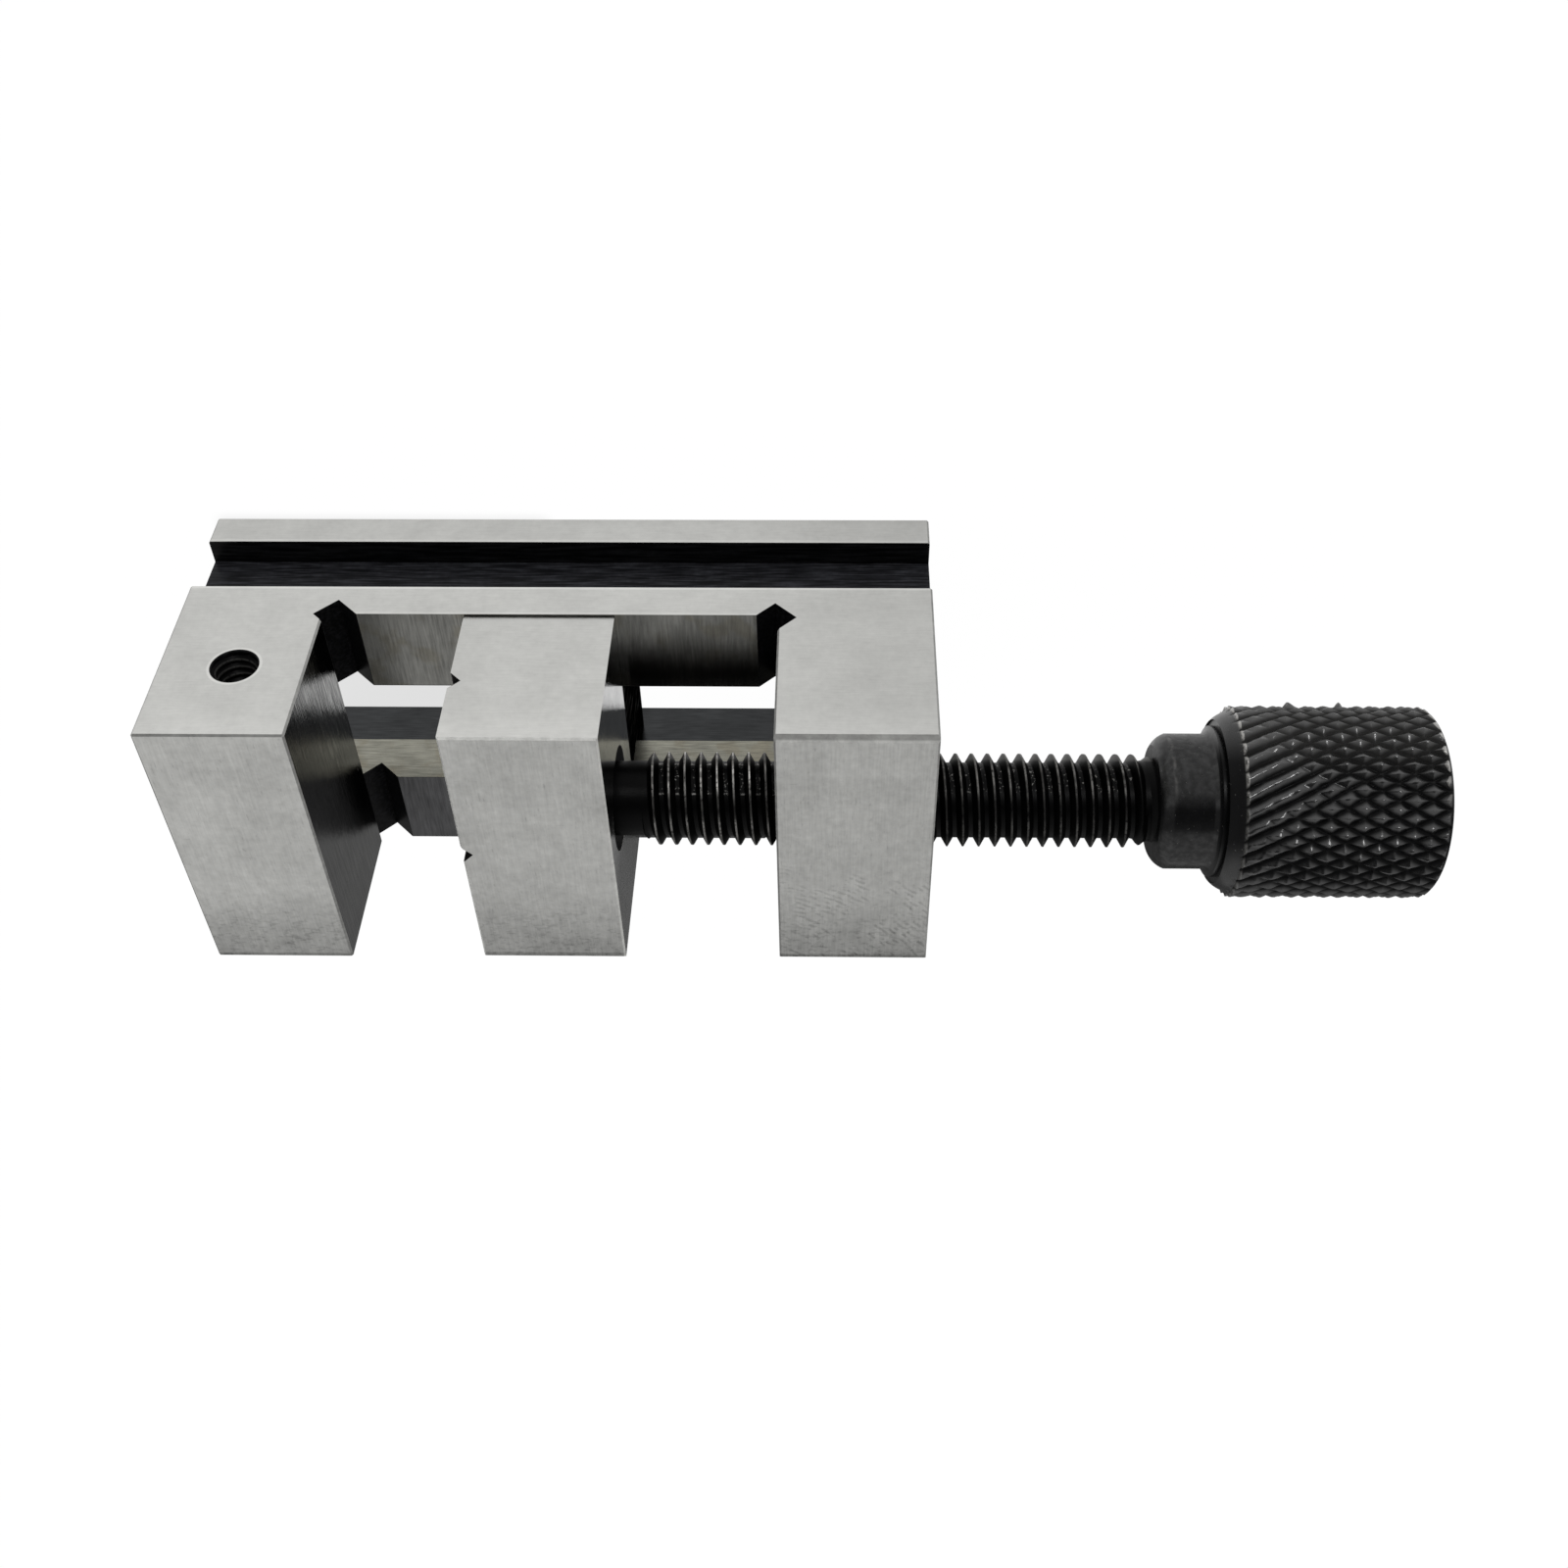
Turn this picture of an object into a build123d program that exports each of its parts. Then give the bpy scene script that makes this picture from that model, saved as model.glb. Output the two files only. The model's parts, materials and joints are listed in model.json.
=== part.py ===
"""A small ground-steel toolmaker's vise with a knurled screw.

Millimetres. +X runs from the fixed jaw towards the knob, +Y across the width towards the side with the
tapped hole, and +Z up. The origin lies on the plane of the base's underside, at mid-width, half-way
between the fixed jaw's outer end and the knob's end.
"""
import os
from math import radians, tan

from build123d import *

# Body: one block with the fixed jaw, the base and the end block
body_length = 58.0
body_width = 25.4
base_height = 12.0
jaw_height = 13.4
fixed_jaw_thickness = 11.1
end_block_thickness = 11.9
edge_break = 0.15
end_block_top_break = 0.45

# Clamping groove along each side of the base
side_groove_bottom = 3.1
side_groove_height = 5.65
side_groove_depth = 2.1

# T-slot through the base, open below and at both ends
wall_behind_groove = 2.1
slot_lip_width = 3.25
wide_slot_height = 7.5

# Square relief grooves at 45 degrees in the two inside corners
relief_width = 2.3
fixed_relief_depth = 0.5
fixed_relief_shift_down = 0.65
end_relief_depth = 0.8
end_relief_shift_down = 0.0

# Tapped hole for a work stop in the fixed jaw's side
stop_hole_from_end = 5.75
stop_hole_from_top = 7.4
stop_hole_radius = 1.75
stop_hole_depth = 9.0
stop_hole_edge_break = 0.08
drill_point_angle = 118.0

# Movable jaw
jaw_opening_at_rest = 10.85
movable_jaw_thickness = 11.6
movable_jaw_setback = 0.2
vee_depth = 0.85
sliding_clearance = 0.05

# Screw, from its tip in the movable jaw to the end of the knob
screw_axis_from_top = 6.1
thread_radius = 3.7
thread_depth = 0.75
running_clearance = 0.05
tip_depth_in_jaw = 7.0
thread_start_from_jaw = 2.05
thread_length = 39.68
collar_radius = 5.3
collar_front_drop = 0.9
collar_front_length = 1.0
collar_front_bulge = 0.13
collar_length = 3.22
knob_radius = 7.5
knob_front_length = 2.4
knob_front_bulge = 0.33
knob_grip_length = 13.75
knob_end_rounding = 0.9
knob_end_bulge = 0.12
front_groove_from_collar = 0.4
front_groove_width = 0.35
front_groove_depth = 0.6
bore_mouth_chamfer = 0.5
jaw_bore_mouth_chamfer = 1.2
hex_socket_across_flats = 5.0
hex_socket_depth = 6.0
hex_socket_chamfer = 0.4

# Groove near the screw's tip, with a retaining pin on each side of it
pin_radius = 1.0
pin_top_above_axis = 3.0
pin_from_jaw_rear = 3.3
pin_groove_depth = 0.9
pin_groove_clearance = 0.1
pin_hole_end_gap = 0.25
pin_end_chamfer = 0.2
fit_clearance = 0.02

# Keeper, a T-shaped guide in the slot under the movable jaw
keeper_front_setback = 0.5
keeper_rear_setback = 0.1
keeper_above_underside = 2.0
keeper_flange_side_clearance = 0.1

# Socket-head screws that hold the keeper to the movable jaw
keeper_screw_radius = 1.0
metal_over_tapped_hole = 0.5
keeper_screw_from_jaw_face = 3.4
keeper_screw_spacing = 5.2
screw_head_radius = 1.9
screw_head_height = 2.0
screw_head_recess = 0.3
screw_head_clearance = 0.1
screw_chamfer = 0.15
screw_hex_across_flats = 1.5
screw_hex_depth = 1.0
screw_hole_clearance = 0.1
tapped_hole_end_gap = 0.5

# Sizes and places worked out from those above
body_height = base_height + jaw_height
wide_slot_width = body_width - 2 * (side_groove_depth + wall_behind_groove)
narrow_slot_width = wide_slot_width - 2 * slot_lip_width
movable_jaw_width = body_width - 2 * movable_jaw_setback
tip_radius = thread_radius - thread_depth
pin_groove_radius = tip_radius - pin_groove_depth
knob_end_from_jaw = (
    thread_start_from_jaw + thread_length + collar_front_length + collar_length
    + knob_front_length + knob_grip_length + knob_end_rounding
)
overall_length = (
    fixed_jaw_thickness + jaw_opening_at_rest + movable_jaw_thickness + knob_end_from_jaw
)
body_start = -overall_length / 2
fixed_jaw_face = body_start + fixed_jaw_thickness
body_end = body_start + body_length
end_block_face = body_end - end_block_thickness
jaw_front = fixed_jaw_face + jaw_opening_at_rest
jaw_rear = jaw_front + movable_jaw_thickness
jaw_underside = base_height + sliding_clearance
screw_axis_height = body_height - screw_axis_from_top
pin_x = jaw_rear - pin_from_jaw_rear
pin_offset = pin_groove_radius + pin_radius + running_clearance
pin_length = screw_axis_height + pin_top_above_axis - jaw_underside - pin_hole_end_gap
head_seat_height = keeper_above_underside + screw_head_recess + screw_head_height
tapped_hole_depth = (
    screw_axis_height - tip_radius - running_clearance - metal_over_tapped_hole - jaw_underside
)
keeper_screw_length = jaw_underside + tapped_hole_depth - tapped_hole_end_gap - head_seat_height
keeper_screw_places = [
    jaw_front + keeper_screw_from_jaw_face + number * keeper_screw_spacing for number in range(2)
]


def side_profile(points):
    """A closed face in the XZ plane from (x, z) points."""
    return make_face(Polyline([(x, 0, z) for x, z in points], close=True))


def end_profile(points, x):
    """A closed face across the width at the given x, from (y, z) points."""
    return make_face(Polyline([(x, y, z) for y, z in points], close=True))


def turned(points, x, height):
    """A round piece on an axis along X, from (distance along it, radius) points of half its section.

    A third number in a point tells how far the stretch after it bulges outwards."""
    start, end = points[0][0], points[-1][0]
    outline = [(start, 0), *points, (end, 0), (start, 0)]
    corners = [Vector(x + a, 0, height + r) for a, r, *_ in outline]
    lines = []
    for (_, _, *bulge), near, far in zip(outline, corners, corners[1:]):
        lines.append(bulging_arc(near, far, *bulge) if bulge else Line(near, far))
    return revolve(make_face(lines), Axis((x, 0, height), (1, 0, 0)))


def bulging_arc(start, end, bulge):
    """An arc in the XZ plane that rises by bulge above the straight line between its ends."""
    along = (end - start).normalized()
    upwards = Vector(-along.Z, 0, along.X)
    return ThreePointArc(start, (start + end) / 2 + upwards * bulge, end)


def hexagonal_bore(across_flats, depth):
    """A hexagonal hole's volume, running from the origin down."""
    return extrude(RegularPolygon(across_flats / 2, 6, major_radius=False), -depth)


def corner_relief(corner_x, inward, depth, shift_down):
    """The square groove that clears an inside corner, sloping at 45 degrees into the metal beyond it.

    inward is +1 where the upright is towards +X, and -1 where it is towards -X."""
    above = relief_width + shift_down
    groove = Box(relief_width, 2 * body_width, above + depth)
    groove = Pos(-inward * shift_down, 0, (above - depth) / 2) * groove
    return Pos(corner_x, 0, base_height) * Rot(0, inward * -45, 0) * groove


def vise_body():
    """The fixed jaw, base and end block."""
    outline = side_profile([
        (body_start, 0), (body_end, 0), (body_end, body_height), (end_block_face, body_height),
        (end_block_face, base_height), (fixed_jaw_face, base_height), (fixed_jaw_face, body_height),
        (body_start, body_height),
    ])
    body = extrude(outline, body_width / 2, both=True, dir=(0, 1, 0))

    # The outer edges are broken before the slots are milled, the inside corners and the bed aren't
    bed = body.faces().filter_by(Axis.Z).sort_by(Axis.Z)[1]
    body = chamfer(body.edges() - bed.edges(), edge_break)
    for side in (-1, 1):
        edge_y = side * body_width / 2
        bevel = end_profile([
            (edge_y, body_height), (edge_y, body_height - end_block_top_break),
            (edge_y - side * end_block_top_break, body_height),
        ], end_block_face)
        body -= extrude(bevel, end_block_thickness, dir=(1, 0, 0))

    narrow = narrow_slot_width / 2
    wide = wide_slot_width / 2
    slot = end_profile([
        (-wide, -1), (wide, -1), (wide, wide_slot_height), (narrow, wide_slot_height),
        (narrow, base_height), (-narrow, base_height), (-narrow, wide_slot_height),
        (-wide, wide_slot_height),
    ], body_start)
    body -= extrude(slot, body_length, dir=(1, 0, 0))

    groove_top = side_groove_bottom + side_groove_height
    for side in (-1, 1):
        inner = side * (body_width / 2 - side_groove_depth)
        outer = side * (body_width / 2 + 1)
        groove = end_profile([
            (inner, side_groove_bottom), (outer, side_groove_bottom), (outer, groove_top),
            (inner, groove_top),
        ], body_start)
        body -= extrude(groove, body_length, dir=(1, 0, 0))

    body -= corner_relief(fixed_jaw_face, -1, fixed_relief_depth, fixed_relief_shift_down)
    body -= corner_relief(end_block_face, 1, end_relief_depth, end_relief_shift_down)

    bore_radius = thread_radius + running_clearance
    mouth_radius = bore_radius + bore_mouth_chamfer
    body -= turned([
        (0, mouth_radius), (bore_mouth_chamfer, bore_radius),
        (end_block_thickness - bore_mouth_chamfer, bore_radius), (end_block_thickness, mouth_radius),
    ], end_block_face, screw_axis_height)
    return body - stop_hole()


def stop_hole():
    """The tapped hole's volume, drilled into the fixed jaw from the +Y side."""
    point_length = stop_hole_radius / tan(radians(drill_point_angle / 2))
    mouth_radius = stop_hole_radius + stop_hole_edge_break
    half = make_face(Polyline(
        (0, 0), (mouth_radius, 0), (stop_hole_radius, -stop_hole_edge_break),
        (stop_hole_radius, -stop_hole_depth), (0, -stop_hole_depth - point_length), close=True,
    ))
    hole = revolve(half, Axis.Y)
    return Pos(body_start + stop_hole_from_end, body_width / 2, body_height - stop_hole_from_top) * hole


def movable_jaw():
    """The sliding jaw, with crossed V-grooves on its face and holes for the screw's tip and fasteners."""
    outline = side_profile([
        (jaw_front, jaw_underside), (jaw_rear, jaw_underside), (jaw_rear, body_height),
        (jaw_front, body_height),
    ])
    jaw = extrude(outline, movable_jaw_width / 2, both=True, dir=(0, 1, 0))
    jaw = chamfer(jaw.edges().group_by(Axis.Z)[-1], edge_break)

    vee_edge = vee_depth * 2 ** 0.5
    level_vee = Pos(jaw_front, 0, screw_axis_height) * Rot(0, 45, 0) * Box(
        vee_edge, 2 * movable_jaw_width, vee_edge)
    upright_vee = Pos(jaw_front, 0, body_height) * Rot(0, 0, 45) * Box(
        vee_edge, vee_edge, 2 * body_height)
    jaw -= level_vee
    jaw -= upright_vee

    bore_radius = tip_radius + running_clearance
    bore_mouth = bore_radius + jaw_bore_mouth_chamfer
    jaw -= turned([
        (0, bore_radius), (tip_depth_in_jaw - jaw_bore_mouth_chamfer, bore_radius),
        (tip_depth_in_jaw, bore_mouth),
    ], jaw_rear - tip_depth_in_jaw, screw_axis_height)

    pin_hole = upright_rod(pin_radius + fit_clearance, pin_length + 2 * pin_hole_end_gap)
    for side in (-1, 1):
        jaw -= Pos(pin_x, side * pin_offset, jaw_underside) * pin_hole
    screw_hole = upright_rod(keeper_screw_radius + fit_clearance, tapped_hole_depth)
    for x in keeper_screw_places:
        jaw -= Pos(x, 0, jaw_underside) * screw_hole
    return jaw


def upright_rod(radius, height):
    """A cylinder that stands on the origin."""
    return Cylinder(radius, height, align=(Align.CENTER, Align.CENTER, Align.MIN))


def keeper_block():
    """The T-shaped guide that holds the movable jaw down on the base."""
    narrow = narrow_slot_width / 2 - sliding_clearance
    wide = wide_slot_width / 2 - keeper_flange_side_clearance
    flange_top = wide_slot_height - sliding_clearance
    front = jaw_front + keeper_front_setback
    length = jaw_rear - keeper_rear_setback - front
    section = end_profile([
        (-wide, keeper_above_underside), (wide, keeper_above_underside), (wide, flange_top),
        (narrow, flange_top), (narrow, jaw_underside), (-narrow, jaw_underside), (-narrow, flange_top),
        (-wide, flange_top),
    ], front)
    block = extrude(section, length, dir=(1, 0, 0))
    top_rear_edge = block.edges().filter_by(Axis.Y).group_by(Axis.Z)[-1].sort_by(Axis.X)[-1]
    block = chamfer([top_rear_edge, *block.faces().sort_by(Axis.Z)[0].edges()], edge_break)

    head_room = screw_head_recess + screw_head_height
    counterbore = upright_rod(screw_head_radius + screw_head_clearance, head_room)
    shank_hole = upright_rod(keeper_screw_radius + screw_hole_clearance, base_height)
    for x in keeper_screw_places:
        block -= Pos(x, 0, keeper_above_underside) * (counterbore + shank_hole)
    return block


def keeper_screw(x):
    """A socket-head screw, standing head down in the keeper's counterbore."""
    head = upright_rod(screw_head_radius, screw_head_height)
    head = chamfer(head.edges().sort_by(Axis.Z)[0], screw_chamfer)
    shank = upright_rod(keeper_screw_radius, keeper_screw_length)
    shank = chamfer(shank.edges().sort_by(Axis.Z)[-1], screw_chamfer)
    screw = head + Pos(0, 0, screw_head_height) * shank
    screw -= Pos(0, 0, screw_hex_depth) * hexagonal_bore(screw_hex_across_flats, screw_hex_depth)
    return Pos(x, 0, keeper_above_underside + screw_head_recess) * screw


def retaining_pin(side):
    """An upright pin beside the groove in the screw's tip."""
    pin = upright_rod(pin_radius, pin_length)
    pin = chamfer(pin.edges().filter_by(GeomType.CIRCLE), pin_end_chamfer)
    return Pos(pin_x, side * pin_offset, jaw_underside + pin_hole_end_gap) * pin


def lead_screw():
    """The turned screw: grooved tip, neck, threaded spindle, collar and knob. Its thread and knurling
    are at their outer radius."""
    groove_half_width = pin_radius + pin_groove_clearance
    tip = -tip_depth_in_jaw + running_clearance
    groove = -pin_from_jaw_rear
    thread_end = thread_start_from_jaw + thread_length
    collar_start = thread_end + collar_front_length
    collar_end = collar_start + collar_length
    grip_start = collar_end + knob_front_length
    grip_end = grip_start + knob_grip_length
    knob_end = grip_end + knob_end_rounding
    screw = turned([
        (tip, tip_radius - edge_break), (tip + edge_break, tip_radius),
        (groove - groove_half_width, tip_radius), (groove - groove_half_width, pin_groove_radius),
        (groove + groove_half_width, pin_groove_radius), (groove + groove_half_width, tip_radius),
        (thread_start_from_jaw, tip_radius), (thread_start_from_jaw + thread_depth, thread_radius),
        (thread_end, thread_radius), (thread_end, collar_radius - collar_front_drop, collar_front_bulge),
        (collar_start, collar_radius), (collar_end, collar_radius, knob_front_bulge),
        (grip_start, knob_radius), (grip_end, knob_radius, knob_end_bulge),
        (knob_end, knob_radius - knob_end_rounding),
    ], jaw_rear, screw_axis_height)

    front_groove_radius = collar_radius + front_groove_from_collar
    front_groove = Circle(front_groove_radius + front_groove_width) - Circle(front_groove_radius)
    front_groove = extrude(front_groove, front_groove_depth)
    screw -= Pos(jaw_rear + collar_end, 0, screw_axis_height) * Rot(0, 90, 0) * front_groove

    socket = hexagonal_bore(hex_socket_across_flats, hex_socket_depth)
    mouth_radius = hex_socket_across_flats / 3 ** 0.5 + hex_socket_chamfer
    mouth = Pos(0, 0, -mouth_radius / 2) * Cone(0, mouth_radius, mouth_radius)
    end = Pos(jaw_rear + knob_end, 0, screw_axis_height) * Rot(0, 90, 0)
    return screw - end * (socket + mouth)


def write_parts():
    """One file for each piece, named for it."""
    os.makedirs("parts", exist_ok=True)
    pieces = {
        "vise_body": vise_body(),
        "movable_jaw": movable_jaw(),
        "keeper_block": keeper_block(),
        "keeper_screw_front": keeper_screw(keeper_screw_places[0]),
        "keeper_screw_rear": keeper_screw(keeper_screw_places[1]),
        "retaining_pin_left": retaining_pin(1),
        "retaining_pin_right": retaining_pin(-1),
        "lead_screw": lead_screw(),
    }
    for name, piece in pieces.items():
        piece.label = name
        export_step(piece, f"parts/{name}.step")


write_parts()
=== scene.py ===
"""Dresses a small toolmaker's vise: ground steel, a blackened screw with its thread and knurling, and a
plain stage. Metres, in the CAD model's frame: +X from the fixed jaw towards the knob, +Z up."""

import json
from math import atan2, ceil, cos, exp, hypot, pi, radians, sin, tan

import bmesh
import bpy
from bpy.props import FloatProperty, FloatVectorProperty, IntProperty, PointerProperty
from mathutils import Matrix, Vector, noise


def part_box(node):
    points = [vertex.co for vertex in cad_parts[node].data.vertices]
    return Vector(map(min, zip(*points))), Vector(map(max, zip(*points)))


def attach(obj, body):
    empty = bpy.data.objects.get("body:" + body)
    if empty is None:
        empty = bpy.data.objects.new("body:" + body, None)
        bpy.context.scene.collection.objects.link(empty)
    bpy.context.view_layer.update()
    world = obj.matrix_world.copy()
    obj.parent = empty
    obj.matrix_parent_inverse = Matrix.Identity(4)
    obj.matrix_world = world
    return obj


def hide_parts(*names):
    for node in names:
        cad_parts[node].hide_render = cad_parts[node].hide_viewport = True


bl_info = {
    "name": "Toolmaker's Vise",
    "version": (1, 0, 0),
    "blender": (4, 5, 0),
    "location": "View3D > Sidebar > Vise",
    "description": "Dresses a small ground-steel vise with a threaded and knurled screw",
    "category": "Object",
}

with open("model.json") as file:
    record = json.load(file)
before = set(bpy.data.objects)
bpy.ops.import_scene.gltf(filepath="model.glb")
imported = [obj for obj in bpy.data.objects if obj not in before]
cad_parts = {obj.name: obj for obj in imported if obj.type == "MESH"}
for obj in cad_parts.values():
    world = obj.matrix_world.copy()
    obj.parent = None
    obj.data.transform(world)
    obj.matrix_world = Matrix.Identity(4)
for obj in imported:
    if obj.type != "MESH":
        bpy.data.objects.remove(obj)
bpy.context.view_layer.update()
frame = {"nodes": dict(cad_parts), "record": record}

MM = 0.001
WELD = 0.002 * MM
BODY_LOW, BODY_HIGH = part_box("vise_body")
JAW_LOW, JAW_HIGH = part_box("movable_jaw")
SCREW_LOW, SCREW_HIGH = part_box("lead_screw")
SCREW_AXIS = (SCREW_LOW.z + SCREW_HIGH.z) / 2
STOP_HOLE = next(mount for mount in frame["record"]["mounts"] if mount["name"] == "stop_hole")

# Places on the body for its finishes, in millimetres: the fixed jaw's and the end block's inner faces and
# the bed, the edges of the clamping grooves, the half-widths of the T-slot's neck and wide part, the height
# of that part, and a radius that takes in the screw's bores
FIXED_FACE, BLOCK_FACE, BED = -37.175, -2.175, 12.0
GROOVE_LOW, GROOVE_HIGH = 3.08, 8.77
SLOT_NECK, SLOT_WIDTH, SLOT_HEIGHT = 5.3, 8.45, 7.53
BORE_REACH = 4.2
# Square corner reliefs, turned by 45 degrees: their reach across each corner's diagonal, and along it out
# of the corner
FIXED_RELIEF = (-0.53, 1.83), (-0.53, 2.9)
BLOCK_RELIEF = (-1.18, 1.18), (-0.83, 3.0)
# Depth and half-width of the V-grooves in the movable jaw's face, with a little over
VEE_REACH = 0.87


def length(name, description, millimetres):
    """A size that a user can change, in metres."""
    return FloatProperty(name=name, description=description, default=millimetres * MM, unit="LENGTH",
                         precision=5)


def colour(name, description, value):
    """A colour that a user can change."""
    return FloatVectorProperty(name=name, description=description, default=value, subtype="COLOR",
                               size=3, min=0, max=1)


class SpindleSettings(bpy.types.PropertyGroup):
    """Sizes of the screw from its tip to the end of its thread."""
    pitch: length("Pitch", "From one thread crest to the next", 1.25)
    crest_radius: length("Crest Radius", "Outer radius of the thread", 3.66)
    root_radius: length("Root Radius", "Radius at the bottom of the thread, and of neck and tip", 2.95)
    crest_flat: length("Crest Flat", "Width of the thread's flat crest", 0.11)
    neck_length: length("Neck Length", "From the movable jaw to the start of the thread", 2.05)
    thread_length: length("Thread Length", "From the neck to the collar", 39.68)
    groove_from_jaw: length("Groove Place", "From the jaw's rear face in to the tip's groove", 3.3)
    groove_width: length("Groove Width", "Width of the groove for the retaining pins", 2.2)
    groove_radius: length("Groove Radius", "Radius at the bottom of that groove", 2.05)
    tip_chamfer: length("Tip Chamfer", "Chamfer at the tip's end", 0.15)


class KnobSettings(bpy.types.PropertyGroup):
    """Sizes of the collar and the knurled knob."""
    collar_radius: length("Collar Radius", "Radius of the collar in front of the knob", 5.3)
    collar_length: length("Collar Length", "From the end of the thread to the knob", 4.22)
    collar_front_length: length("Collar Front Length", "Length of the collar's rounded front edge", 1.0)
    collar_front_drop: length("Collar Front Drop", "Fall of the radius over that edge", 0.9)
    front_length: length("Front Length", "Length of the knob's smooth rounded front", 1.6)
    end_rounding: length("End Rounding", "Length of the rounded edge at the knob's end", 0.9)
    starts: IntProperty(name="Knurl Starts", description="Grooves of each hand round the knob",
                        default=34, min=6, max=80)
    knurl_angle: FloatProperty(name="Knurl Angle", description="Angle of the grooves to the axis",
                               default=radians(29), subtype="ANGLE")
    knurl_depth: length("Knurl Depth", "Depth of the grooves", 0.42)
    socket_flats: length("Socket Flats", "Width across the flats of the hexagon socket", 5.0)
    socket_depth: length("Socket Depth", "Depth of the hexagon socket", 6.0)
    socket_chamfer: length("Socket Chamfer", "Chamfer at the socket's corners", 0.4)


class StopThreadSettings(bpy.types.PropertyGroup):
    """Sizes of the thread in the side hole."""
    pitch: length("Pitch", "From one crest to the next", 0.7)
    crest_radius: length("Crest Radius", "Inner radius of the thread", 1.5)
    wall_radius: length("Wall Radius", "Radius at which the ridge stands in the hole's wall", 1.8)
    turns: IntProperty(name="Turns", description="Turns of thread", default=11, min=1, max=40)


class FinishSettings(bpy.types.PropertyGroup):
    """Colours of the finishes."""
    ground: colour("Ground Steel", "Surface-ground faces", (0.57, 0.57, 0.55))
    black: colour("Blackened Steel", "Black oxide on screw, grooves and slots", (0.005, 0.005, 0.0055))
    # The worn colour also paints highlights and glints on the screw's thread and knob
    worn: colour("Worn Steel", "Bare steel where the black has worn off", (0.42, 0.41, 0.39))


class StageSettings(bpy.types.PropertyGroup):
    """Camera, light and floor."""
    lens: FloatProperty(name="Lens", description="Focal length", default=39.36, unit="CAMERA")
    floor_size: FloatProperty(name="Floor Size", description="Side of the square floor", default=3.0,
                              unit="LENGTH")
    light: FloatProperty(name="Light", description="Brightness of the room", default=0.8, min=0)
    # Far Floor sets the painted shadow that metal sees on the floor behind the vise
    far_floor: FloatProperty(name="Far Floor", description="How much dimmer metal shows the floor behind",
                             default=0.82, min=0, max=1)
    window: FloatProperty(name="Window", description="Brightness of the window's light", default=0.6, min=0)


def moved_to_axis(bm):
    """Lifts a turned piece, modelled round the X axis, up to the screw's axis."""
    bmesh.ops.translate(bm, verts=bm.verts[:], vec=(0, 0, SCREW_AXIS))


def add_piece(bm, name, body, material, sharp_angle):
    """Makes an object of a finished mesh, which rides on a body."""
    bmesh.ops.recalc_face_normals(bm, faces=bm.faces[:])
    for face in bm.faces:
        face.smooth = True
    for edge in bm.edges:
        edge.smooth = edge.calc_face_angle(0) < sharp_angle
    mesh = bpy.data.meshes.new(name)
    bm.to_mesh(mesh)
    bm.free()
    piece = bpy.data.objects.new(name, mesh)
    bpy.context.scene.collection.objects.link(piece)
    mesh.materials.append(material)
    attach(piece, body)
    return piece


def section(bm, points, closed=False):
    """Edges through (x, radius) points, to be swept round the X axis."""
    corners = [bm.verts.new((x, 0, radius)) for x, radius in points]
    ends = corners[1:] + corners[:1] if closed else corners[1:]
    return corners + [bm.edges.new(pair) for pair in zip(corners, ends)]


def sweep(bm, geometry, steps, advance=0.0, turns=1):
    """Sweeps edges round the X axis, in a right-hand helix if they advance along it with each turn."""
    bmesh.ops.spin(bm, geom=geometry, cent=(0, 0, 0), axis=(1, 0, 0), angle=2 * pi * turns,
                   steps=steps * turns, dvec=(advance / steps, 0, 0), use_merge=advance == 0,
                   use_duplicate=False)
    bmesh.ops.remove_doubles(bm, verts=bm.verts[:], dist=WELD)


def cut_across(bm, x, keep=0):
    """Cuts the mesh by a plane across the X axis, and clears what is below (keep 1) or above it (-1)."""
    bmesh.ops.bisect_plane(bm, geom=bm.verts[:] + bm.edges[:] + bm.faces[:], dist=WELD / 10,
                           plane_co=(x, 0, 0), plane_no=(1, 0, 0),
                           clear_inner=keep == 1, clear_outer=keep == -1)


def set_radius(vertex, radius):
    """Moves a vertex straight out from the X axis."""
    now = hypot(vertex.co.y, vertex.co.z)
    vertex.co.y *= radius / now
    vertex.co.z *= radius / now


def extend(bm, edges, points):
    """Carries an open ring of edges on through (x, radius) points, and closes it with a flat end."""
    for x, radius in points:
        made = bmesh.ops.extrude_edge_only(bm, edges=edges)["geom"]
        edges = [item for item in made if isinstance(item, bmesh.types.BMEdge)]
        for vertex in (item for item in made if isinstance(item, bmesh.types.BMVert)):
            vertex.co.x = x
            set_radius(vertex, radius)
    bmesh.ops.contextual_create(bm, geom=edges)


def open_ring(bm, x):
    """The boundary edges at a place along the X axis."""
    return [edge for edge in bm.edges
            if edge.is_boundary and all(abs(v.co.x - x) < WELD for v in edge.verts)]


def clamp(value, low, high):
    """The value, or the limit that it passes."""
    return min(max(value, low), high)


def arc(start, end, bulge, count):
    """Points from start, left out, to end along a shallow arc that bulges away from the X axis."""
    start, end = Vector(start), Vector(end)
    along = (end - start).normalized()
    outwards = Vector((-along.y, along.x)) * bulge
    shares = [n / count for n in range(1, count + 1)]
    return [tuple(start.lerp(end, share) + outwards * 4 * share * (1 - share)) for share in shares]


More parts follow.
